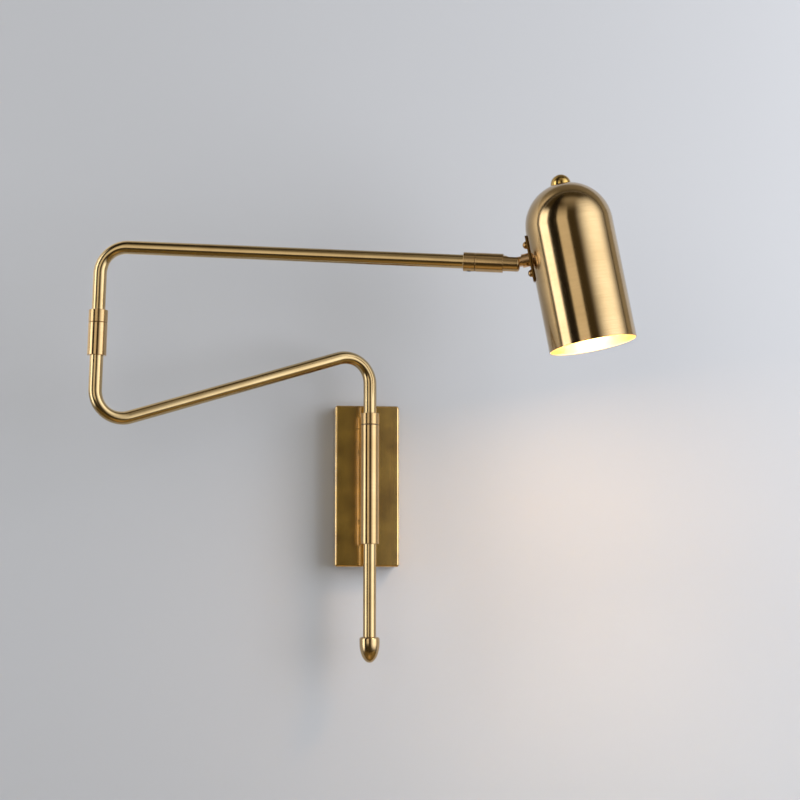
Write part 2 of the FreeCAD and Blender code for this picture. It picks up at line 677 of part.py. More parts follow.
# Strip on the shade, its two screws and nuts
strip_inner = strip_face_reach + strip_thickness
strip = block(strip_length, strip_width, strip_thickness,
              Vector(strip_rise, 0, strip_face_reach + strip_thickness / 2))
strip_corners = [e for e in strip.Edges if abs(e.tangentAt(e.FirstParameter).z) > 0.5]
strip = strip.makeFillet(strip_corner_radius, strip_corners)
lead_hole_end = strip_inner + shade_wall + cut_overrun
lead_hole = rod(lead_hole_diameter / 2, strip_face_reach - cut_overrun, lead_hole_end)
strip = strip.cut(lead_hole)
strip_screws = []
strip_nuts = []
strip_holes = []
head_fixing_radius = strip_screw_diameter / 2
nut_seat = strip_inner + shade_wall + cover_gap
for side in (1, -1):
    along = Vector(strip_rise + side * strip_screw_pitch / 2, 0, 0)
    head = slotted_head(strip_screw_head / 2, strip_screw_head_height, strip_face_reach,
                        small_slot_width, small_slot_depth)
    shank = rod(head_fixing_radius, strip_face_reach, strip_face_reach + strip_screw_length)
    screw = head.fuse(shank).removeSplitter()
    screw.translate(along)
    strip_screws.append(screw)
    nut = hex_nut(strip_nut_width, head_fixing_radius + seat_gap, nut_seat, nut_seat + strip_nut_thickness)
    nut.translate(along)
    strip_nuts.append(nut)
    hole = rod(head_fixing_radius + seat_gap, strip_face_reach - cut_overrun, nut_seat + cut_overrun)
    hole.translate(along)
    strip_holes.append(hole)
    strip = strip.cut(hole)
save("head_strip", put(strip, stud_frame))
save("strip_screws", put(group(strip_screws), stud_frame))
save("strip_nuts", put(group(strip_nuts), stud_frame))

# Shade: a tube with a domed end, open below
shade_radius = shade_diameter / 2
shade_inside = shade_radius - shade_wall
shade_axis_reach = strip_inner + shade_radius
shade_frame = stud_frame.multiply(frame_at(Vector(0, 0, shade_axis_reach), Vector(1, 0, 0), Vector(0, 0, 1)))
dome_z = shade_dome_rise
mouth_z = dome_z - shade_straight
pole_z = dome_z + shade_radius


def bullet(radius, low):
    tube = rod(radius, low, dome_z)
    dome = Part.makeSphere(radius, Vector(0, 0, dome_z), up, 0, 90, 360)
    return tube.fuse(dome).removeSplitter()


shade = put(bullet(shade_radius, mouth_z).cut(bullet(shade_inside, mouth_z - cut_overrun)), shade_frame)
shade = shade.cut(put(rod(nipple_diameter / 2 + screw_clearance, dome_z, pole_z + cut_overrun), shade_frame))
for opening in strip_holes + [lead_hole]:
    shade = shade.cut(put(opening, stud_frame))
save("shade", shade)

# Half-ball cap nut on the dome and the threaded nipple that hangs the lampholder
cap_centre = Vector(0, 0, pole_z - cap_nut_sink)
cap_nut = Part.makeSphere(cap_nut_radius, cap_centre)
cap_nut = cap_nut.cut(Part.makeSphere(shade_radius + seat_gap, Vector(0, 0, dome_z)))
nipple_radius = nipple_diameter / 2
cap_nut = cap_nut.cut(rod(nipple_radius + seat_gap, dome_z, pole_z + cap_nut_thread_depth))
save("cap_nut", put(cap_nut, shade_frame))

holder_nut_corner = holder_nut_width / math.sqrt(3)
inside_sag = shade_inside - math.sqrt(shade_inside * shade_inside - holder_nut_corner * holder_nut_corner)
holder_nut_top = pole_z - shade_wall - inside_sag - seat_gap
holder_nut_low = holder_nut_top - holder_nut_thickness
holder_nut = hex_nut(holder_nut_width, nipple_radius + seat_gap, holder_nut_low, holder_nut_top)
save("holder_nut", put(holder_nut, shade_frame))
holder_top = holder_nut_low
holder_radius = holder_diameter / 2
nipple_end = holder_top - 2 * holder_wall
nipple_top = pole_z + cap_nut_thread_depth - seam_gap
save("top_nipple", put(ring(nipple_bore / 2, nipple_radius, nipple_end, nipple_top), shade_frame))

# Lampholder: cup on the nipple, ceramic core, threaded shell and centre contact
shoulder_z = holder_top - holder_shoulder
holder_end = holder_top - holder_length
top_radius = holder_top_diameter / 2


def cup(inset, lowest):
    points = [
        Vector(0, 0, holder_top - inset),
        Vector(top_radius - inset * holder_corner_share, 0, holder_top - inset),
        Vector(holder_radius - inset, 0, shoulder_z - inset * holder_corner_share),
        Vector(holder_radius - inset, 0, lowest),
        Vector(0, 0, lowest),
    ]
    return turned(points, Vector(0, 0, 0), up)


lampholder = cup(0, holder_end).cut(cup(holder_wall, holder_end - cut_overrun))
nipple_hole = rod(nipple_radius + seat_gap, shoulder_z, holder_top + cut_overrun)
lampholder = put(lampholder.cut(nipple_hole), shade_frame)

lead_in_z = strip_inner + head_lead_in
head_lead_points = [
    Vector(0, 0, strip_face_reach + seat_gap),
    Vector(0, 0, lead_in_z),
    Vector(head_lead_rise, 0, lead_in_z),
    Vector(shoulder_z + holder_shoulder / 2, 0, shade_axis_reach - top_radius - 2 * holder_wall),
]
head_lead = put(swept(head_lead_points, lead_bend_radius, lead_radius), stud_frame)
head_lead_hole = put(swept(head_lead_points, lead_bend_radius, lead_radius + screw_clearance), stud_frame)
save("lampholder", lampholder.cut(head_lead_hole))
save("head_lead", head_lead)

core_top = shoulder_z - core_drop - holder_wall
core_low = core_top - core_thickness
core_radius = holder_radius - holder_wall - core_gap
shell_radius = thread_shell_diameter / 2
core = rod(core_radius, core_low, core_top)
for side in (1, -1):
    hole_foot = Vector(side * holder_terminal_pitch / 2, 0, core_low)
    core = core.cut(rod_along(terminal_screw_diameter / 2, hole_foot, up, core_thickness))
save("holder_core", put(core, shade_frame))
thread_shell_low = core_low - thread_shell_length
thread_shell = ring(shell_radius - thread_shell_wall, shell_radius, thread_shell_low, core_low)
save("thread_shell", put(thread_shell, shade_frame))
contact = block(contact_width, contact_width / 2, contact_thickness,
                Vector(0, 0, core_low - contact_height + contact_thickness / 2))
contact_leg = block(contact_thickness, contact_width / 2, contact_height,
                    Vector(contact_width / 2, 0, core_low - contact_height / 2))
save("centre_contact", put(contact.fuse(contact_leg).removeSplitter(), shade_frame))

# Bulb: screw cap with its tip, and the globe
tip_top = core_low - contact_height
cap_top = tip_top - bulb_tip_length
cap_low = cap_top - bulb_cap_length
cap_radius = bulb_cap_diameter / 2
cap_shoulder = cap_radius * bulb_cap_taper_share
cap_tip = Part.makeCone(cap_shoulder, bulb_tip_diameter / 2, bulb_tip_length, Vector(0, 0, cap_top))
save("bulb_cap", put(rod(cap_radius, cap_low, cap_top).fuse(cap_tip).removeSplitter(), shade_frame))
globe_radius = bulb_globe_diameter / 2
bulb_low = tip_top - bulb_length
globe_z = bulb_low + globe_radius


def envelope(inset, top):
    ball = Part.makeSphere(globe_radius - inset, Vector(0, 0, globe_z))
    return ball.fuse(rod(cap_radius - inset, globe_z, top)).removeSplitter()


globe = envelope(0, cap_low).cut(envelope(bulb_glass_wall, cap_low + cut_overrun))
save("bulb_glass", put(globe, shade_frame))

# Leads inside the tubes, with a rubber grommet at each tube end
lower_lead_points = [Vector(0, post_y, post_lead_start), post_corner, elbow_corner,
                     elbow_corner + elbow_axis * lower_tube_end]
save("lower_lead", swept(lower_lead_points, bend_radius, lead_radius))
upper_lead_points = [upper_tube_start, upper_corner, upper_corner + upper_direction * spring_end]
save("upper_lead", swept(upper_lead_points, bend_radius, lead_radius))
grommet_hole = lead_radius + seat_gap
grommet_outside = tube_inside - seat_gap
lower_grommet = ring(grommet_hole, grommet_outside, lower_tube_end - grommet_length, lower_tube_end)
save("lower_grommet", put(lower_grommet, elbow_frame))
upper_start_station = lower_tube_end + tube_end_gap
first_grommet = put(ring(grommet_hole, grommet_outside, upper_start_station,
                         upper_start_station + grommet_length), elbow_frame)
second_grommet = put(ring(grommet_hole, grommet_outside, upper_tube_end - grommet_length, upper_tube_end),
                     arm_frame)
save("upper_grommets", group([first_grommet, second_grommet]))
canopy_lead_points = [
    Vector(0, block_centre.y, terminal_centre + terminal_height / 2),
    Vector(0, block_centre.y, spacer_pitch / 2),
    Vector(0, post_y + sleeve_radius, spacer_pitch / 2),
]
save("canopy_lead", swept(canopy_lead_points, canopy_lead_bend, lead_radius))


def show(name, vector):
    print(name, [round(value, 5) for value in vector])


def show_in_metres(name, vector):
    print(name, "metres", [round(value / 1000, 6) for value in vector])


head_turn_axis = stud_direction.cross(stud_frame.Rotation.multVec(Vector(1, 0, 0)))
show_in_metres("post axis point", Vector(0, post_y, 0))
show_in_metres("elbow corner", elbow_corner)
show_in_metres("upper corner", upper_corner)
show("elbow axis", elbow_axis)
show_in_metres("ball centre", ball_centre)
show("upper arm direction", upper_direction)
show("stud direction", stud_direction)
show("tilt axis", head_turn_axis)
show_in_metres("shade mouth centre", shade_frame.multVec(Vector(0, 0, mouth_z)))
show_in_metres("shade dome centre", shade_frame.multVec(Vector(0, 0, dome_z)))
show_in_metres("bulb lowest point", shade_frame.multVec(Vector(0, 0, bulb_low)))
show("shade axis", shade_frame.Rotation.multVec(up))
post_bend_start = post_corner_height - bend_radius * math.tan(lower_direction.getAngle(up) / 2)
print("room to lower the post", round(post_bend_start - collar_top, 3))
print("room to raise the post", round(-sleeve_top - finial_top, 3))
print("stud angle to arm", round(math.degrees(stud_direction.getAngle(upper_direction)), 3))
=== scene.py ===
import json
import math

import bmesh
import bpy
from mathutils import Matrix, Vector


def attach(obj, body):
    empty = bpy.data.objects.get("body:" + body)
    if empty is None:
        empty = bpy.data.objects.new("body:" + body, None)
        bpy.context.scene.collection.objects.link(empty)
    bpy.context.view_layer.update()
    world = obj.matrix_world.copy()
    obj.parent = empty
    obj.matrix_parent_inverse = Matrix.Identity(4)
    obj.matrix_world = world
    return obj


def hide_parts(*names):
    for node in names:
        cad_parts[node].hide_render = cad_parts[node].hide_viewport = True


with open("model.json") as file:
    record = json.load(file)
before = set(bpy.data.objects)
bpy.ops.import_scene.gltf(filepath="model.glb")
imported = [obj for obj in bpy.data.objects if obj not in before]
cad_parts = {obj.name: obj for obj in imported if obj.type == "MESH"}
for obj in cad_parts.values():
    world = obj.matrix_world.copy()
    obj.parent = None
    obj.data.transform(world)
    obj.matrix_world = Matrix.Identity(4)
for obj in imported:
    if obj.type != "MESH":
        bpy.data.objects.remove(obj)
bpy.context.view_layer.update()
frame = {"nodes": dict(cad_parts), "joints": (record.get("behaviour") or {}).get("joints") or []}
joints = {joint["name"]: joint for joint in frame["joints"]}
mm = 0.001

# Camera: it stands below the lamp and to its left, as the photograph was taken,
# and looks up and to the right through a long lens.
camera_place = (-0.185, -1.798, -0.108)
camera_right = math.radians(7.0)
camera_up = math.radians(6.2)
camera_data = bpy.data.cameras.new("camera")
camera_data.lens = 81.0
camera_data.sensor_width = 36.0
camera = bpy.data.objects.new("camera", camera_data)
camera.location = camera_place
camera.rotation_euler = (math.radians(90) + camera_up, 0, -camera_right)
bpy.context.scene.collection.objects.link(camera)
bpy.context.scene.camera = camera
bpy.context.scene.view_settings.view_transform = "Standard"

# Wall and floor: a painted plaster wall that the lamp is screwed to, and a pale floor below.
# Seen from behind the wall is clear, so that the lamp can be looked at from there too, and it has
# an opening behind the backplate that lets light in on the bracket.
floor_height = -1.25
floor_depth = 1.3
wall_top = 2.2
room_half_width = 4.0
wall_gap = 0.4 * mm
opening_half_width = 30 * mm
opening_half_height = 78 * mm
wall_colour = "C4C5C6"
floor_colour = "B9B6B0"
plaster_grain = 2.5 * mm
paint_patches_per_metre = 1.4
paint_fade = 0.94


def linear(code):
    """Linear colour with alpha of an sRGB hex code."""
    shares = [int(code[i:i + 2], 16) / 255 for i in (0, 2, 4)]
    return [s / 12.92 if s <= 0.04045 else ((s + 0.055) / 1.055) ** 2.4 for s in shares] + [1.0]


def add_node(tree, kind, settings=None, links=None):
    """Adds a shader node. Settings name its sockets or properties, links name the sockets to feed."""
    node = tree.nodes.new("ShaderNode" + kind)
    for key, value in (settings or {}).items():
        if isinstance(key, int) or key in node.inputs:
            node.inputs[key].default_value = value
        else:
            setattr(node, key, value)
    for key, source in (links or {}).items():
        tree.links.new(source, node.inputs[key])
    return node


def start_material(name):
    """An empty node material with its output."""
    material = bpy.data.materials.new(name)
    material.use_nodes = True
    material.node_tree.nodes.clear()
    return material, material.node_tree, material.node_tree.nodes.new("ShaderNodeOutputMaterial")


def painted(name, colour, grain, clear_behind=False):
    """Matt paint with a grain and faint patches, see-through from behind if asked, and the flags' painted
    shade.
    """
    material, tree, output = start_material(name)
    place = add_node(tree, "TexCoord").outputs["Object"]
    speckle = add_node(tree, "TexNoise", {"Scale": 1 / grain, "Detail": 3.0}, {"Vector": place})
    bump = add_node(tree, "Bump", {"Strength": 0.12, "Distance": 0.1 * mm},
                    {"Height": speckle.outputs["Fac"]})
    cloud = add_node(tree, "TexNoise", {"Scale": paint_patches_per_metre, "Detail": 2.0}, {"Vector": place})
    full = linear(colour)
    tone = add_node(tree, "Mix", {"data_type": "RGBA", 6: full, 7: [paint_fade * share for share in full]},
                    {0: cloud.outputs["Fac"]})
    paint = add_node(tree, "BsdfPrincipled", {"Roughness": 0.75, "Specular IOR Level": 0.2},
                     {"Base Color": tone.outputs[2], "Normal": bump.outputs["Normal"]})
    surface = paint.outputs["BSDF"]
    if clear_behind:
        back = add_node(tree, "NewGeometry").outputs["Backfacing"]
        clear = add_node(tree, "BsdfTransparent").outputs["BSDF"]
        surface = add_node(tree, "MixShader", {}, {0: back, 1: surface, 2: clear}).outputs["Shader"]
    tree.links.new(surface, output.inputs["Surface"])
    return material


def backdrop(name, corners, material, opening=()):
    """One flat sheet of the studio. An opening has as many corners as the sheet."""
    mesh = bpy.data.meshes.new(name)
    count = len(corners)
    faces = [range(count)]
    if opening:
        faces = [(a, (a + 1) % count, count + (a + 1) % count, count + a) for a in range(count)]
    mesh.from_pydata([*corners, *opening], [], faces)
    mesh.materials.append(material)
    thing = bpy.data.objects.new(name, mesh)
    bpy.context.scene.collection.objects.link(thing)
    return thing


# Matt paint scatters light evenly, with the fine grain of a roller and hardly any shine.
side = room_half_width
backdrop("wall", [(-side, wall_gap, floor_height), (side, wall_gap, floor_height),
                  (side, wall_gap, wall_top), (-side, wall_gap, wall_top)],
         painted("matt_wall_paint", wall_colour, plaster_grain, clear_behind=True),
         [(x * opening_half_width, wall_gap, z * opening_half_height)
          for x, z in ((-1, -1), (1, -1), (1, 1), (-1, 1))])
backdrop("floor", [(-side, -floor_depth, floor_height), (side, -floor_depth, floor_height),
                   (side, wall_gap, floor_height), (-side, wall_gap, floor_height)],
         painted("matt_floor_paint", floor_colour, plaster_grain))

# Flags: grey and dark sheets just in front of the wall's surface, beyond its lit middle, and a dark one
# between two lights. Their colours are painted shade: they stand in for the dimmer wall and the unlit
# studio, where the brass shows its dark bands. A brown board below is painted shade of the dim room under
# the lamp, which the undersides of the arms show. The brass alone sees all of them.
flag_place = -0.2 * mm
flag_reach = 9.0
lit_left = -0.77
lit_right = 0.64
lit_top = 0.57
gap_flag_left = (-1.95, -1.10)
gap_flag_right = (-1.40, -1.75)
board_height = -1.0
board_side = 1.9
board_front = -1.35
sheet_grain = 4 * mm
# The sheets are matt, so that the brass shows their painted shade as even bands.
grey_shade_sheet = painted("painted_shade_grey", "89816F", sheet_grain)
dark_shade_sheet = painted("painted_shade_dark", "251D12", sheet_grain)
brown_shade_board = painted("brown_shade_board", "8A7649", sheet_grain)
flags = {
    "left_flag": ((-flag_reach, flag_place), (lit_left, flag_place), floor_height, dark_shade_sheet),
    "right_flag": ((lit_right, flag_place), (flag_reach, flag_place), floor_height, grey_shade_sheet),
    "top_flag": ((lit_left, flag_place), (lit_right, flag_place), lit_top, grey_shade_sheet),
    "gap_flag": (gap_flag_left, gap_flag_right, floor_height, dark_shade_sheet),
}
seen_by_brass = [
    backdrop(name, [(*start, low), (*end, low), (*end, flag_reach), (*start, flag_reach)], flag_shade)
    for name, (start, end, low, flag_shade) in flags.items()]
seen_by_brass.append(backdrop(
    "low_board",
    [(-board_side, board_front, board_height), (board_side, board_front, board_height),
     (board_side, flag_place, board_height), (-board_side, flag_place, board_height)],
    brown_shade_board))
for sheet in seen_by_brass:
    sheet.visible_camera = False
    sheet.visible_diffuse = False
    sheet.visible_shadow = False
    sheet.visible_transmission = False

# Studio light: a tall softbox on the left, a wide one on the right that is brightest in its
# middle, a dim card in front on the left that fades upwards and gives the tan bands, a card
# overhead for the shade's dome, and a fill for the wall that the brass doesn't see.
cool_white = "F0F5FF"
pale_white = "F4F6FF"
warm_white = "FFFAF2"
lamp_yellow = "FFD8A0"


def soft_light(name, place, aim, size, watts, colour, fades):
    """A rectangular light at place that faces aim. Fades are the shares of its width and height over
    which it dies away: at its own left and its own right, at its foot and at its top."""
    data = bpy.data.lights.new(name, "AREA")
    data.shape = "RECTANGLE"
    data.size, data.size_y = size
    data.energy = watts
    data.color = linear(colour)[:3]
    data.use_nodes = True
    tree = data.node_tree
    tree.nodes.clear()
    spot = add_node(tree, "SeparateXYZ", {}, {0: add_node(tree, "NewGeometry").outputs["Parametric"]})
    emission = add_node(tree, "Emission")
    feed = emission.inputs["Strength"]
    for axis, edge, share in zip("XXYY", (0.0, 1.0, 0.0, 1.0), fades):
        fade = add_node(tree, "MapRange", {"interpolation_type": "SMOOTHSTEP", "From Min": edge,
                                           "From Max": abs(edge - share)}, {"Value": spot.outputs[axis]})
        product = add_node(tree, "Math", {"operation": "MULTIPLY", 1: 1.0}, {0: fade.outputs["Result"]})
        tree.links.new(product.outputs[0], feed)
        feed = product.inputs[1]
    add_node(tree, "OutputLight", {}, {"Surface": emission.outputs["Emission"]})
    light = bpy.data.objects.new(name, data)
    light.location = place
    light.rotation_euler = (Vector(aim) - Vector(place)).to_track_quat("-Z", "Y").to_euler()
    light.visible_camera = False
    bpy.context.scene.collection.objects.link(light)
    return light


soft_light("left_softbox", place=(-1.60, -0.45, 0.33), aim=(0.17, -0.21, 0.33), size=(0.90, 2.66),
           watts=24.0, colour=cool_white, fades=(0.08, 0.16, 0.25, 0.30))
soft_light("right_softbox", place=(1.594, -1.625, 1.90), aim=(0.044, -0.365, 1.90), size=(4.3, 6.2),
           watts=239.0, colour=cool_white, fades=(0.53, 0.41, 0.15, 0.80))
soft_light("front_card", place=(-1.15, -2.40, 1.30), aim=(0.17, -0.21, 1.30), size=(1.35, 3.8),
           watts=19.0, colour=warm_white, fades=(0.12, 0.12, 0.12, 0.85))
soft_light("overhead_card", place=(0.15, -1.55, 1.85), aim=(0.17, -0.21, 0.27), size=(2.2, 1.9),
           watts=4.6, colour=warm_white, fades=(0.35, 0.35, 0.75, 0.25))
wall_fill = soft_light("wall_fill", place=(1.35, -1.15, 0.30), aim=(0.55, 0.0, 0.05), size=(1.2, 1.8),
                       watts=26.0, colour=pale_white, fades=(0.2, 0.2, 0.2, 0.2))
wall_fill.visible_glossy = False
# Behind the wall, for a look at the bracket from there: it reaches nothing else.
soft_light("bracket_light", place=(0.10, 0.70, 0.25), aim=(0.0, 0.0, 0.0), size=(0.6, 0.6),
           watts=9.0, colour=warm_white, fades=(0.2, 0.2, 0.2, 0.2))
# Two glows that the brass alone shows: the wall close to the left softbox, which is brighter there,
# and the lamp's own pool of light on the low board, in the undersides of the arms.
wall_wash = soft_light("wall_wash", place=(-0.37, -mm, 0.95), aim=(-0.37, -1.0, 0.95), size=(0.80, 1.8),
                       watts=4.4, colour=warm_white, fades=(0.92, 0.03, 0.05, 0.30))
wall_wash.visible_diffuse = False
lamp_pool = soft_light("lamp_pool", place=(-0.08, -0.60, -0.97), aim=(-0.08, -0.59, 0.0), size=(0.9, 0.9),
                       watts=1.2, colour=lamp_yellow, fades=(0.45, 0.45, 0.45, 0.45))
lamp_pool.visible_diffuse = False

# The unlit studio round the lights is dim and brown. The camera and the brass see a pale surround
# where the wall ends.
world = bpy.data.worlds.new("studio")
world.use_nodes = True
world.node_tree.nodes.clear()
bpy.context.scene.world = world
unlit_studio = "4D442F"
pale_surround = "C9C9CC"
rays = add_node(world.node_tree, "LightPath")
direction = add_node(world.node_tree, "TexCoord").outputs["Generated"]
towards = add_node(world.node_tree, "SeparateXYZ", {}, {0: direction})
behind = add_node(world.node_tree, "Math", {"operation": "GREATER_THAN", 1: 0.0}, {0: towards.outputs["Y"]})
metal_behind = add_node(world.node_tree, "Math", {"operation": "MULTIPLY"},
                        {0: rays.outputs["Is Glossy Ray"], 1: behind.outputs[0]})
seen = add_node(world.node_tree, "Math", {"operation": "MAXIMUM"},
                {0: rays.outputs["Is Camera Ray"], 1: rays.outputs["Is Transmission Ray"]})
pale = add_node(world.node_tree, "Math", {"operation": "MAXIMUM"},
                {0: seen.outputs[0], 1: metal_behind.outputs[0]})
surround = add_node(world.node_tree, "Mix",
                    {"data_type": "RGBA", 6: linear(unlit_studio), 7: linear(pale_surround)},
                    {0: pale.outputs[0]})
studio = add_node(world.node_tree, "Background", {"Strength": 1.0}, {"Color": surround.outputs[2]})
add_node(world.node_tree, "OutputWorld", {}, {"Surface": studio.outputs["Background"]})

# Wall bracket: a folded steel strip, zinc plated and left dull, that two screws hold to the wall.
# It is hidden by the backplate, and carries the terminal block and the earth screw.


def dress(material, *nodes):
    """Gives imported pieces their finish."""
    for node in nodes:
        mesh = frame["nodes"][node].data
        mesh.materials.clear()
        mesh.materials.append(material)


def plain_finish(name, colour, worn_colour, metallic, roughness, grain, coat=0.0):
    """A finish with a cloudy tone, uneven gloss and a fine grain of the given size."""
    cloud_share = 0.15
    material, tree, output = start_material(name)
    place = add_node(tree, "TexCoord").outputs["Object"]
    cloud = add_node(tree, "TexNoise", {"Scale": cloud_share / grain, "Detail": 3.0}, {"Vector": place})
    fine = add_node(tree, "TexNoise", {"Scale": 1 / grain, "Detail": 2.0}, {"Vector": place})
    tone = add_node(tree, "Mix", {"data_type": "RGBA", 6: linear(colour), 7: linear(worn_colour)},
                    {0: cloud.outputs["Fac"]})
    gloss = add_node(tree, "MapRange", {"To Min": 0.85 * roughness, "To Max": min(1.0, 1.15 * roughness)},
                     {"Value": fine.outputs["Fac"]})
    bump = add_node(tree, "Bump", {"Strength": 0.15, "Distance": 0.02 * mm}, {"Height": fine.outputs["Fac"]})
    shader = add_node(tree, "BsdfPrincipled", {"Metallic": metallic, "Coat Weight": coat},
                      {"Base Color": tone.outputs[2], "Roughness": gloss.outputs["Result"],
                       "Normal": bump.outputs["Normal"]})
    tree.links.new(shader.outputs["BSDF"], output.inputs["Surface"])
    return material


# Zinc plate has a soft grey shine with a faint spangle.
zinc_plate = plain_finish("zinc_plated_steel", "A6A9AB", "8C8F92", metallic=1.0, roughness=0.42,
                          grain=0.8 * mm)
# Bright zinc on turned steel screws is a little glossier.
zinc_screw = plain_finish("zinc_plated_screw_steel", "A8A9AA", "85878A", metallic=1.0, roughness=0.32,
                          grain=0.4 * mm)
dress(zinc_plate, "wall_bracket")
dress(zinc_screw, "earth_screw", "earth_washer", "terminal_fixing_screw", "terminal_screws")

# Terminal block: three brass clamps in a moulded block of white polyamide.
# Moulded polyamide is slightly clear at the edges and has a low, even sheen.
white_polyamide = plain_finish("moulded_polyamide", "E9E6DC", "DEDACD", metallic=0.0, roughness=0.48,
                               grain=0.5 * mm)
dress(white_polyamide, "terminal_block")

# Backplate cover: sheet brass drawn into a box, brushed upright on its face and lacquered.
# Brushing leaves long upright lines, so that reflections spread sideways across them.
tarnish_patch = 28 * mm


def brass_finish(name, bright, deep, smooth, rough, across, along, spread, turn, own_places=True,
                 lacquer=0.15, lacquer_haze=0.12, lacquer_index=1.5):
    """Brushed, lacquered brass. Its lines are one across apart and one along long."""
    material, tree, output = start_material(name)
    if own_places:
        place = add_node(tree, "Attribute", {"attribute_name": "own_place"}).outputs["Vector"]
    else:
        place = add_node(tree, "TexCoord").outputs["Object"]
    stretched = add_node(tree, "Mapping", {"Scale": (1 / across, 1 / across, 1 / along)}, {"Vector": place})
    lines = add_node(tree, "TexNoise", {"Scale": 1.0, "Detail": 5.0, "Roughness": 0.7},
                     {"Vector": stretched.outputs["Vector"]})
    cloud = add_node(tree, "TexNoise", {"Scale": 1 / tarnish_patch, "Detail": 3.0}, {"Vector": place})
    depth = add_node(tree, "Math", {"operation": "MULTIPLY"},
                     {0: lines.outputs["Fac"], 1: cloud.outputs["Fac"]})
    weight = add_node(tree, "MapRange", {"From Min": 0.1, "From Max": 0.45}, {"Value": depth.outputs[0]})
    tone = add_node(tree, "Mix", {"data_type": "RGBA", 6: linear(deep), 7: linear(bright)},
                    {0: weight.outputs["Result"]})
    gloss = add_node(tree, "MapRange",
                     {"From Min": 0.35, "From Max": 0.65, "To Min": rough, "To Max": smooth},
                     {"Value": lines.outputs["Fac"]})
    bump = add_node(tree, "Bump", {"Strength": 0.25, "Distance": 0.01 * mm},
                    {"Height": lines.outputs["Fac"]})
    links = {"Base Color": tone.outputs[2], "Roughness": gloss.outputs["Result"],
             "Normal": bump.outputs["Normal"]}
    if own_places:
        wrap = add_node(tree, "Tangent", {"direction_type": "UV_MAP", "uv_map": "wrap"})
    else:
        wrap = add_node(tree, "Tangent", {"direction_type": "RADIAL", "axis": "Z"})
    links["Tangent"] = wrap.outputs["Tangent"]
    shader = add_node(tree, "BsdfPrincipled",
                      {"Metallic": 1.0, "Anisotropic": spread, "Anisotropic Rotation": turn,
                       "Coat Weight": lacquer, "Coat Roughness": lacquer_haze,
                       "Coat IOR": lacquer_index}, links)
    tree.links.new(shader.outputs["BSDF"], output.inputs["Surface"])
    return material


# The plate's brush lines are about 0.1 mm apart, drawn 1 mm apart so that they show.
plate_line_gap = 1.0 * mm
plate_line_length = 45 * mm
brushed_plate = brass_finish("brushed_lacquered_brass_plate", "FFD062", "A0742A", smooth=0.15, rough=0.25,
                             across=plate_line_gap, along=plate_line_length, spread=0.3, turn=0.0,
                             own_places=False, lacquer=1.0, lacquer_haze=0.03, lacquer_index=2.3)
dress(brushed_plate, "canopy")

# Cover screws: small countersunk screws of the same brass, one in the top edge and one in the bottom.
# Small turned screws have a plain satin shine without lines that the eye can see.
screw_brass = plain_finish("satin_brass_screw", "D6AE68", "B48A48", metallic=1.0, roughness=0.26,
                           grain=0.4 * mm)
dress(screw_brass, "canopy_screws")

# Spacers: two short turned brass rods that hold the sleeve off the backplate, the upper one hollow
# for the lead. A nut behind the plate holds the upper, a screw and washer the lower.
# Turning leaves rings about 0.1 mm apart, drawn coarser here so that they still soften the shine.
turned_ring_gap = 0.35 * mm
turned_ring_run = 30 * mm
turned_brass = brass_finish("turned_lacquered_brass_rod", "C2A676", "AE9264", smooth=0.16, rough=0.24,
                            across=turned_ring_run, along=turned_ring_gap, spread=0.0, turn=0.0,
                            own_places=False)
dress(turned_brass, "lead_spacer", "solid_spacer")
dress(zinc_screw, "spacer_nut", "spacer_washer", "spacer_screw")

# Sleeve: a brass tube between the spacers, in which the post slides and turns.
# It was turned and polished bright, finer than the drawn tubes, and its ends are eased.
round_columns = 96
arc_steps = 4
sleeve_wall = 1.0 * mm
sleeve_edge = 0.4 * mm
inner_edge = 0.15 * mm
weld_reach = 0.0005 * mm
sharp_edge_angle = math.radians(35)


def place_at(origin, z_axis, x_hint):
    """Frame at origin whose Z runs along z_axis and whose X leans to x_hint."""
    y_axis = z_axis.cross(x_hint).normalized()
    x_axis = y_axis.cross(z_axis)
    turn = Matrix((x_axis, y_axis, z_axis)).transposed().to_4x4()
    return Matrix.Translation(origin) @ turn


def measure(node, place):
    """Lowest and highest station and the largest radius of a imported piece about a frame's Z."""
    back = place.inverted()
    own = [back @ vertex.co for vertex in frame["nodes"][node].data.vertices]
    return min(p.z for p in own), max(p.z for p in own), max(p.xy.length for p in own)


def eased(corners):
    """Closed outline through corners of (radius, height, rounding), each rounded by an arc."""
    points = []
    for index, (across, height, rounding) in enumerate(corners):
        corner = Vector((across, height))
        if not rounding:
            points.append(corner)
            continue
        back = (Vector(corners[index - 1][:2]) - corner).normalized()
        ahead = (Vector(corners[(index + 1) % len(corners)][:2]) - corner).normalized()
        half = back.angle(ahead) / 2
        centre = corner + (back + ahead).normalized() * rounding / math.sin(half)
        first = corner + back * rounding / math.tan(half) - centre
        turn = math.copysign(math.pi - 2 * half, back.cross(ahead) * -1)
        points += [centre + Matrix.Rotation(turn * step / arc_steps, 2) @ first
                   for step in range(arc_steps + 1)]
    return points


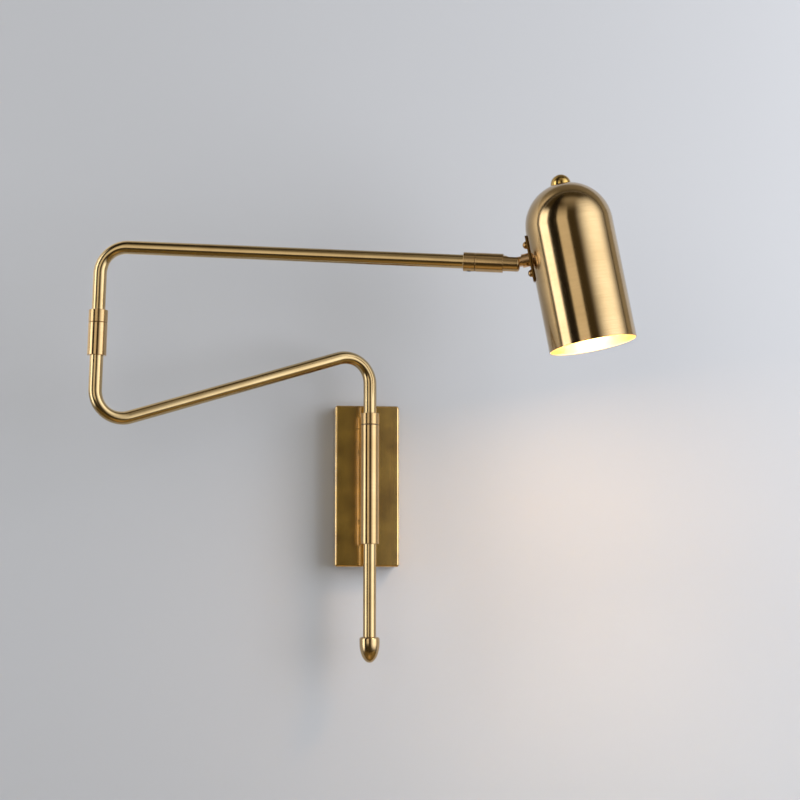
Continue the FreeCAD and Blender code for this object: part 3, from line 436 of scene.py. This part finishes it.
def skin(rows, joined, missing=None, inside_from=None):
    """Mesh over rings of (place, own place). joined closes the last ring to the first, missing
    says which cells are cut away, and cells from the ring inside_from on take the second material."""
    shape = bmesh.new()
    own_place = shape.verts.layers.float_vector.new("own_place")
    wrap = shape.loops.layers.uv.new("wrap")
    columns = len(rows[0])
    grid = []
    for ring in rows:
        grid.append([shape.verts.new(place) for place, own in ring])
        for vertex, (place, own) in zip(grid[-1], ring):
            vertex[own_place] = own
    spans = len(rows) if joined else len(rows) - 1
    for row in range(spans):
        for column in range(columns):
            if missing and missing(row, column):
                continue
            after, beside = (row + 1) % len(rows), (column + 1) % columns
            face = shape.faces.new((grid[row][column], grid[row][beside],
                                    grid[after][beside], grid[after][column]))
            face.smooth = True
            face.material_index = int(inside_from is not None and row >= inside_from)
            corners = ((column, row), (column + 1, row), (column + 1, row + 1), (column, row + 1))
            for loop, (u, v) in zip(face.loops, corners):
                loop[wrap].uv = (u / columns, v / spans)
    if missing:
        bmesh.ops.bridge_loops(shape, edges=[edge for edge in shape.edges if edge.is_boundary])
    bmesh.ops.remove_doubles(shape, verts=shape.verts[:], dist=weld_reach)
    bmesh.ops.recalc_face_normals(shape, faces=shape.faces[:])
    return shape


def turned(outline, place, joined=True, inside_from=None):
    """Mesh of a piece turned on a lathe: its outline spun round the Z of a frame."""
    rows = []
    for across, height in outline:
        ring = [Vector((across * math.cos(a), across * math.sin(a), height))
                for a in (2 * math.pi * column / round_columns for column in range(round_columns))]
        rows.append([(place @ own, own) for own in ring])
    return skin(rows, joined, inside_from=inside_from)


def add_piece(name, shape, materials, body, slot, *nodes):
    """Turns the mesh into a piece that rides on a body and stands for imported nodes."""
    mesh = bpy.data.meshes.new(name)
    shape.to_mesh(mesh)
    shape.free()
    for material in materials:
        mesh.materials.append(material)
    mesh.set_sharp_from_angle(angle=sharp_edge_angle)
    thing = bpy.data.objects.new(name, mesh)
    bpy.context.scene.collection.objects.link(thing)
    thing.modifiers.new("even_normals", "WEIGHTED_NORMAL").keep_sharp = True
    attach(thing, body)
    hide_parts(*nodes)
    return thing


polished_sleeve = brass_finish("polished_lacquered_brass_sleeve", "C2A476", "AE9062", smooth=0.13,
                               rough=0.19, across=turned_ring_run, along=turned_ring_gap, spread=0.4,
                               turn=0.25)
post_frame = Matrix.Translation(joints["wall_swing"]["pos_m"])
sleeve_low, sleeve_high, sleeve_radius = measure("wall_sleeve", post_frame)
sleeve_inside = sleeve_radius - sleeve_wall
sleeve_outline = eased([(sleeve_inside, sleeve_low, inner_edge), (sleeve_radius, sleeve_low, sleeve_edge),
                        (sleeve_radius, sleeve_high, sleeve_edge), (sleeve_inside, sleeve_high, inner_edge)])
add_piece("post_sleeve", turned(sleeve_outline, post_frame), [polished_sleeve], "wall_mount", "brass_turned",
          "wall_sleeve")

# Bushes and thrust washer: turned rings of graphite-filled nylon between the brass pieces.
# Filled nylon is charcoal grey and waxy, and shows as the dark seam under each collar.
dark_nylon = plain_finish("graphite_filled_nylon", "2A2A2B", "1F1F20", metallic=0.0, roughness=0.5,
                          grain=0.5 * mm)
dress(dark_nylon, "sleeve_bushes", "elbow_bush", "swivel_bush", "thrust_washer", "ball_seat")

# Collars: turned brass rings clamped by a grub screw, one on the post, one above the elbow
# and one near the arm's end. They are as bright as the sleeves.
bright_collar = brass_finish("turned_lacquered_brass_collar", "C2A476", "AE9062", smooth=0.17, rough=0.24,
                             across=turned_ring_run, along=turned_ring_gap, spread=0.0, turn=0.0,
                             own_places=False)
dress(bright_collar, "height_collar", "elbow_collar", "end_collar")
# Blackened steel grub screws have a soft dark shine.
black_steel = plain_finish("blackened_screw_steel", "3B3A38", "2A2928", metallic=1.0, roughness=0.35,
                           grain=0.4 * mm)
dress(black_steel, "height_grub_screw", "elbow_grub_screw", "end_grub_screw")

# Lower tube: half-inch brass tube bent cold on a former, so its section is a little
# narrower in the bends. A slot down its back lets the lead in, and a plug closes its foot.
tube_radius = 6.35 * mm
tube_wall = 1.2 * mm
bend_radius = 25.4 * mm
bend_steps = 28
tube_columns = 64
bend_squeeze_inside = 0.13
bend_squeeze_outside = 0.04
post_corner_height = 133 * mm
window_columns = 4
window_inset = 0.3 * mm
tube_line_gap = 0.35 * mm
tube_line_length = 60 * mm


def centreline(corners, stops):
    """Stations (place, direction, way to the bend's centre, travel, bend share) down a bent tube."""
    stations = []
    start, travel = corners[0], 0.0
    ahead = (corners[1] - corners[0]).normalized()
    for stop in (0.0, *stops):
        stations.append((start + ahead * stop, ahead, Vector(), stop, 0.0))
    for before, corner, after in zip(corners, corners[1:], corners[2:]):
        back, ahead = (before - corner).normalized(), (after - corner).normalized()
        half = back.angle(ahead) / 2
        centre = corner + (back + ahead).normalized() * bend_radius / math.sin(half)
        first = corner + back * bend_radius / math.tan(half)
        travel += (first - start).length
        turn = math.pi - 2 * half
        axis = (-back).cross(ahead)
        for step in range(bend_steps + 1):
            share = step / bend_steps
            spin = Matrix.Rotation(turn * share, 3, axis)
            place = centre + spin @ (first - centre)
            stations.append((place, spin @ -back, (centre - place).normalized(),
                             travel + share * turn * bend_radius, math.sin(math.pi * share) ** 2))
        start = place
        travel += turn * bend_radius
    stations.append((corners[-1], ahead, Vector(), travel + (corners[-1] - start).length, 0.0))
    return stations


def bent_tube(corners, stops=(), window=None):
    """Mesh of a bent tube with its bore. A window is the travel at which a slot in it starts and ends."""
    stations = centreline(corners, stops)
    flat = (corners[1] - corners[0]).cross(corners[2] - corners[1]).normalized()

    def ring(station, radius):
        place, direction, inside, travel, share = station
        side = direction.cross(flat)
        points = []
        for column in range(tube_columns):
            angle = 2 * math.pi * column / tube_columns
            out = side * math.cos(angle) + flat * math.sin(angle)
            lean = out.dot(inside)
            squeeze = bend_squeeze_inside if lean > 0 else bend_squeeze_outside
            points.append((place + (out - inside * lean * squeeze * share) * radius,
                           Vector((radius * math.cos(angle), radius * math.sin(angle), travel))))
        return points

    rows = [ring(station, tube_radius) for station in stations]
    rows += [ring(station, tube_radius - tube_wall) for station in reversed(stations)]

    def cut(row, column):
        around = min(column, tube_columns - 1 - column)
        pair = [stations[min(r, len(rows) - 1 - r)][3] for r in (row, (row + 1) % len(rows))]
        return around < window_columns and min(pair) >= window[0] - mm and max(pair) <= window[1] + mm

    return skin(rows, True, missing=cut if window else None)


# Drawn tube keeps faint lines along its length under a satin rub and clear lacquer.
drawn_tube = brass_finish("satin_drawn_brass_tube", "C6AE80", "B09567", smooth=0.13, rough=0.19,
                          across=tube_line_gap, along=tube_line_length, spread=0.35, turn=0.0)
elbow_place = Vector(joints["elbow_swing"]["pos_m"])
elbow_up = Vector(joints["elbow_swing"]["axis"])
elbow_frame = place_at(elbow_place, elbow_up, Vector((0, -1, 0)))
foot = measure("tail_plug", post_frame)[0]
post_foot = post_frame @ Vector((0, 0, foot))
post_corner = post_frame @ Vector((0, 0, post_corner_height))
lower_end = measure("lower_grommet", elbow_frame)[1]
window_low = sleeve_low + window_inset - foot
window_high = measure("thrust_washer", post_frame)[1] - foot
lower_corners = [post_foot, post_corner, elbow_place, elbow_place + elbow_up * lower_end]
add_piece("lower_arm_tube", bent_tube(lower_corners, (window_low, window_high), (window_low, window_high)),
          [drawn_tube], "lower_arm", "brass_tube", "lower_tube")
dress(zinc_screw, "tail_plug")

# Finial: an acorn turned from solid brass and screwed into the plug, polished like the sleeves.
finial_radius = 9.9 * mm
finial_length = 19.6 * mm
finial_rim_radius = 7.5 * mm
finial_rim_height = 5.2 * mm
finial_bore = 6.4 * mm
finial_stud = 3.0 * mm
finial_seat = 5.0 * mm
finial_steps = 28
shoulder_steps = 8
tip, stud_top = measure("finial", post_frame)[:2]
finial_top = foot + finial_seat
belly = finial_top - finial_rim_height
outline = [Vector((0, tip))]
start_angle = math.acos((belly - tip) / finial_length)
for step in range(finial_steps + 1):
    angle = start_angle + (math.pi / 2 - start_angle) * step / finial_steps
    outline.append(Vector((finial_radius * math.sin(angle), belly - finial_length * math.cos(angle))))
shoulder = finial_radius - finial_rim_radius
for step in range(1, shoulder_steps + 1):
    angle = math.pi / 2 * step / shoulder_steps
    outline.append(Vector((finial_rim_radius + shoulder * math.cos(angle),
                           finial_top - shoulder + shoulder * math.sin(angle))))
outline += [Vector((finial_bore, finial_top)), Vector((finial_bore, foot)), Vector((finial_stud, foot)),
            Vector((finial_stud, stud_top)), Vector((0, stud_top))]
polished_solid = brass_finish("polished_solid_brass", "C6AB7E", "B4976A", smooth=0.13, rough=0.19,
                              across=turned_ring_run, along=turned_ring_gap, spread=0.3, turn=0.25)
add_piece("acorn_finial", turned(outline, post_frame, joined=False), [polished_solid], "lower_arm",
          "brass_turned", "finial")

# Elbow: a stepped sleeve turned from brass and brazed on the lower tube's end. The upper tube
# turns in it on a nylon bush.
low, high, radius = measure("elbow_sleeve", elbow_frame)
brazing_gap = 0.05 * mm
bore = tube_radius + brazing_gap
elbow_outline = eased([(bore, low, 0), (radius, low, sleeve_edge), (radius, high, sleeve_edge),
                       (radius - sleeve_wall, high, inner_edge), (radius - sleeve_wall, lower_end, 0),
                       (bore, lower_end, 0)])
add_piece("elbow_barrel", turned(elbow_outline, elbow_frame), [polished_sleeve], "lower_arm", "brass_turned",
          "elbow_sleeve")

# Upper tube: the same half-inch brass tube, bent once. Its foot turns in the elbow, where a collar
# holds it, and its far end carries the head.
arm_axis = Vector(joints["head_roll"]["axis"])
arm_frame = place_at(Vector(joints["head_roll"]["pos_m"]), arm_axis, Vector((0, 0, 1)))
back = elbow_frame.inverted()
upper_start = min((back @ v.co).z for v in frame["nodes"]["upper_tube"].data.vertices)
upper_end = measure("upper_tube", arm_frame)[1]
upper_corners = [elbow_frame @ Vector((0, 0, upper_start)), arm_frame.translation,
                 arm_frame @ Vector((0, 0, upper_end))]
add_piece("upper_arm_tube", bent_tube(upper_corners), [drawn_tube], "upper_arm", "brass_tube", "upper_tube")

# End of the arm: a turned brass sleeve that turns on the tube, with the ball socket brazed into it.
# A wave spring behind a nylon seat presses on the ball, which holds the head where it is put.
low, high, radius = measure("swivel_sleeve", arm_frame)
socket_start = measure("ball_socket", arm_frame)[0]
bore = measure("ball_socket", arm_frame)[2] + brazing_gap
swivel_outline = eased([(radius - sleeve_wall, low, inner_edge), (radius, low, sleeve_edge),
                        (radius, high, sleeve_edge), (bore, high, 0), (bore, socket_start, 0),
                        (radius - sleeve_wall, socket_start, 0)])
add_piece("swivel_barrel", turned(swivel_outline, arm_frame), [polished_sleeve], "head_swivel",
          "brass_turned", "swivel_sleeve")
dress(bright_collar, "ball_socket")
# Spring steel keeps a dull grey shine.
spring_steel = plain_finish("hard_drawn_spring_steel", "77787A", "5F6062", metallic=1.0, roughness=0.4,
                            grain=0.4 * mm)
dress(spring_steel, "seat_spring")

# Head fixings: the hollow stud of the ball screws into a nut that is brazed on a flat brass strip.
# Two round-headed screws hold the strip to the side of the shade, with nuts inside.
# Plain turned brass is pale and has a satin shine.
nut_brass = plain_finish("turned_brass_nut", "E0BC92", "C29A6C", metallic=1.0, roughness=0.22,
                         grain=0.4 * mm)
dress(nut_brass, "ball_stud", "stud_nut")
# The strip's brass is darker and browner than the tubes', and a little dull.
strip_brass = plain_finish("dark_brass_strip", "86663A", "66491F", metallic=1.0, roughness=0.28,
                           grain=0.5 * mm)
dress(strip_brass, "head_strip")
# The screw heads are of the same darker brown, smooth so that they shine sharply.
dark_screw_brass = plain_finish("dark_brass_screw", "BE9A66", "866338", metallic=1.0, roughness=0.14,
                         grain=0.3 * mm)
dress(dark_screw_brass, "strip_screws", "stud_grub_screw")
dress(zinc_screw, "strip_nuts", "top_nipple", "holder_nut")

# Shade: sheet brass spun into a tube with a round end and lacquered, with a plain cut mouth.
# Spinning leaves fine rings, so that reflections spread along the shade and stay sharp round it.
shade_wall = 1.0 * mm
shade_radius = 40 * mm
dome_steps = 40
spun_ring_gap = 0.5 * mm
rim_edge_outside = 0.35 * mm
rim_edge_inside = 0.25 * mm
stud_frame = place_at(Vector(joints["head_spin"]["pos_m"]), Vector(joints["head_spin"]["axis"]),
                      Vector((0, 0, 1)))
strip_inner = measure("head_strip", stud_frame)[1]
shade_frame = stud_frame @ place_at(Vector((0, 0, strip_inner + shade_radius)), Vector((1, 0, 0)),
                                    Vector((0, 0, 1)))
mouth, pole = measure("shade", shade_frame)[:2]
hole_radius = 5.2 * mm
ball_rise = math.sqrt(shade_radius ** 2 - hole_radius ** 2)
dome = pole - ball_rise
shade_inside = shade_radius - shade_wall


def dome_arc(radius, first_angle, last_angle, steps):
    """Points of an arc about the dome's centre, its angles counted from the shade's axis."""
    return [Vector((radius * math.sin(a), dome + radius * math.cos(a)))
            for a in (first_angle + (last_angle - first_angle) * step / steps for step in range(steps + 1))]


outside = dome_arc(shade_radius, math.asin(hole_radius / shade_radius), math.pi / 2, dome_steps)
rim_corners = [(shade_radius, dome, 0), (shade_radius, mouth, rim_edge_outside),
               (shade_inside, mouth, rim_edge_inside), (shade_inside, dome, 0)]
rim = eased(rim_corners)[1:-1]
within = dome_arc(shade_inside, math.pi / 2, math.asin(hole_radius / shade_inside), dome_steps)
spun_shade = brass_finish("spun_lacquered_brass_shade", "C0A477", "AF9265", smooth=0.13, rough=0.18,
                          across=turned_ring_run, along=spun_ring_gap, spread=0.45, turn=0.25)
# The inside was left as it came off the lathe: bare and yellower. Its pale colour is also painted glare,
# so that the inside lit by the bulb looks blown out.
bare_brass_with_glare = brass_finish("bare_spun_brass_painted_glare", "EBD9A8", "DFC98F", smooth=0.30, rough=0.45,
                           across=turned_ring_run, along=spun_ring_gap, spread=0.3, turn=0.25)
halfway = len(outside) + len(rim) // 2
add_piece("bullet_shade", turned(outside + rim + within, shade_frame, inside_from=halfway),
          [spun_shade, bare_brass_with_glare], "head", "brass_shade", "shade")

# Cap nut: a half ball turned from solid brass that screws on the nipple above the shade's round end.
# It was polished bright, and its brass is yellower than the shade's.
cap_top, cap_radius = measure("cap_nut", shade_frame)[1:]
cap_centre = cap_top - cap_radius
nipple_bore = 5.05 * mm
cap_bore_depth = 5.0 * mm
seat_gap = 0.05 * mm
seat_steps = 6
seat_radius = shade_radius + seat_gap
apart = cap_centre - dome
seat_rise = (apart ** 2 + seat_radius ** 2 - cap_radius ** 2) / (2 * apart)
seat_angle = math.acos(seat_rise / seat_radius)
cap_angle = math.acos((seat_rise - apart) / cap_radius)
cap_steps = 24
outline = [Vector((cap_radius * math.sin(a), cap_centre + cap_radius * math.cos(a)))
           for a in (cap_angle * step / cap_steps for step in range(cap_steps + 1))]
outline += dome_arc(seat_radius, seat_angle, math.asin(nipple_bore / seat_radius), seat_steps)[1:]
bore_top = dome + shade_radius + cap_bore_depth
outline += [Vector((nipple_bore, bore_top)), Vector((0, bore_top))]
polished_cap = brass_finish("polished_brass_cap_nut", "C8A660", "B4924C", smooth=0.13, rough=0.19,
                            across=turned_ring_run, along=turned_ring_gap, spread=0.3, turn=0.25)
add_piece("half_ball_cap_nut", turned(outline, shade_frame, joined=False), [polished_cap], "head",
          "brass_turned", "cap_nut")

# Light of the bulb: what leaves the shade's mouth, as one round light of the mouth's size, warmed by
# the brass inside. It rides with the shade and lights the wall behind it.
mouth_light_width = 1.8 * shade_inside
mouth_light_watts = 0.58
mouth_light_colour = "FFCF98"
mouth_light_data = bpy.data.lights.new("mouth_light", "AREA")
mouth_light_data.shape = "DISK"
mouth_light_data.size = mouth_light_width
mouth_light_data.energy = mouth_light_watts
mouth_light_data.color = linear(mouth_light_colour)[:3]
mouth_light = bpy.data.objects.new("mouth_light", mouth_light_data)
mouth_light.matrix_world = shade_frame @ Matrix.Translation((0, 0, mouth + mm))
mouth_light.visible_camera = False
bpy.context.scene.collection.objects.link(mouth_light)
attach(mouth_light, "head")

# Lampholder: a black phenolic cup on the nipple, with a glazed ceramic core, a pressed
# aluminium thread shell and a brass centre contact.
# Moulded phenolic has a deep black gloss.
black_phenolic = plain_finish("moulded_black_phenolic", "1C1A19", "141312", metallic=0.0, roughness=0.28,
                              grain=0.5 * mm)
dress(black_phenolic, "lampholder")
# Glazed ceramic is off-white with a glassy top coat.
glazed_ceramic = plain_finish("glazed_steatite", "EDE9DE", "E3DECF", metallic=0.0, roughness=0.3,
                              grain=0.6 * mm, coat=0.6)
dress(glazed_ceramic, "holder_core")
# Pressed aluminium is light grey with a soft shine.
pressed_aluminium = plain_finish("pressed_aluminium", "C9CACC", "B4B6B9", metallic=1.0, roughness=0.3,
                                 grain=0.4 * mm)
dress(pressed_aluminium, "thread_shell", "bulb_cap")
dress(screw_brass, "centre_contact")

# Bulb: a blown globe of opal glass, cemented in an aluminium screw cap, and lit.
# Opal glass glows evenly over its whole face.
globe_radius = 22.5 * mm
neck_radius = 13.0 * mm
neck_ease = 5.0 * mm
glass_wall = 0.8 * mm
globe_steps = 40
neck_steps = 6
glass_patch = 9 * mm
bulb_low, neck_top = measure("bulb_glass", shade_frame)[:2]
globe_centre = bulb_low + globe_radius


def globe_line(inset):
    """Half outline of the globe from its lowest point to the cap, with an eased neck."""
    ball, neck = globe_radius - inset, neck_radius - inset
    reach = math.sqrt((ball + neck_ease) ** 2 - (neck + neck_ease) ** 2)
    meet = math.atan2(neck + neck_ease, reach)
    points = [Vector((ball * math.sin(a), globe_centre - ball * math.cos(a)))
              for a in ((math.pi - meet) * step / globe_steps for step in range(globe_steps + 1))]
    ease_centre = Vector((neck + neck_ease, globe_centre + reach))
    for step in range(1, neck_steps + 1):
        angle = meet + (math.pi / 2 - meet) * step / neck_steps
        points.append(ease_centre - Vector((math.sin(angle), math.cos(angle))) * neck_ease)
    return points


def lit_glass(name, colour, glow_colour, strength):
    """Opal glass that glows evenly and stays a little cloudy."""
    material, tree, output = start_material(name)
    place = add_node(tree, "TexCoord").outputs["Object"]
    cloud = add_node(tree, "TexNoise", {"Scale": 1 / glass_patch, "Detail": 2.0}, {"Vector": place})
    tone = add_node(tree, "Mix", {"data_type": "RGBA", 6: linear(colour), 7: linear(glow_colour)},
                    {0: cloud.outputs["Fac"]})
    glass = add_node(tree, "BsdfPrincipled", {"Roughness": 0.12, "Emission Color": linear(glow_colour),
                                              "Emission Strength": strength, "Subsurface Weight": 0.2,
                                              "Subsurface Radius": (0.004, 0.003, 0.002)},
                     {"Base Color": tone.outputs[2]})
    tree.links.new(glass.outputs["BSDF"], output.inputs["Surface"])
    return material


opal_glass = lit_glass("lit_opal_glass", "F7F1E4", "FFEFD6", strength=260.0)
globe = globe_line(0) + [Vector((neck_radius, neck_top)), Vector((neck_radius - glass_wall, neck_top))]
globe += list(reversed(globe_line(glass_wall)))
add_piece("bulb_globe", turned(globe, shade_frame, joined=False), [opal_glass], "head",
          "bulb_opal_glass", "bulb_glass")

# Leads and grommets: round black flex through both tubes, with a soft rubber ring at each tube end.
# Flex sheath is matt black; rubber is duller still.
black_flex = plain_finish("black_flex_sheath", "232323", "1A1A1A", metallic=0.0, roughness=0.55,
                          grain=0.5 * mm)
dress(black_flex, "lower_lead", "upper_lead", "head_lead", "canopy_lead")
black_rubber = plain_finish("matt_black_rubber", "191919", "121212", metallic=0.0, roughness=0.8,
                            grain=0.4 * mm)
dress(black_rubber, "lower_grommet", "upper_grommets")
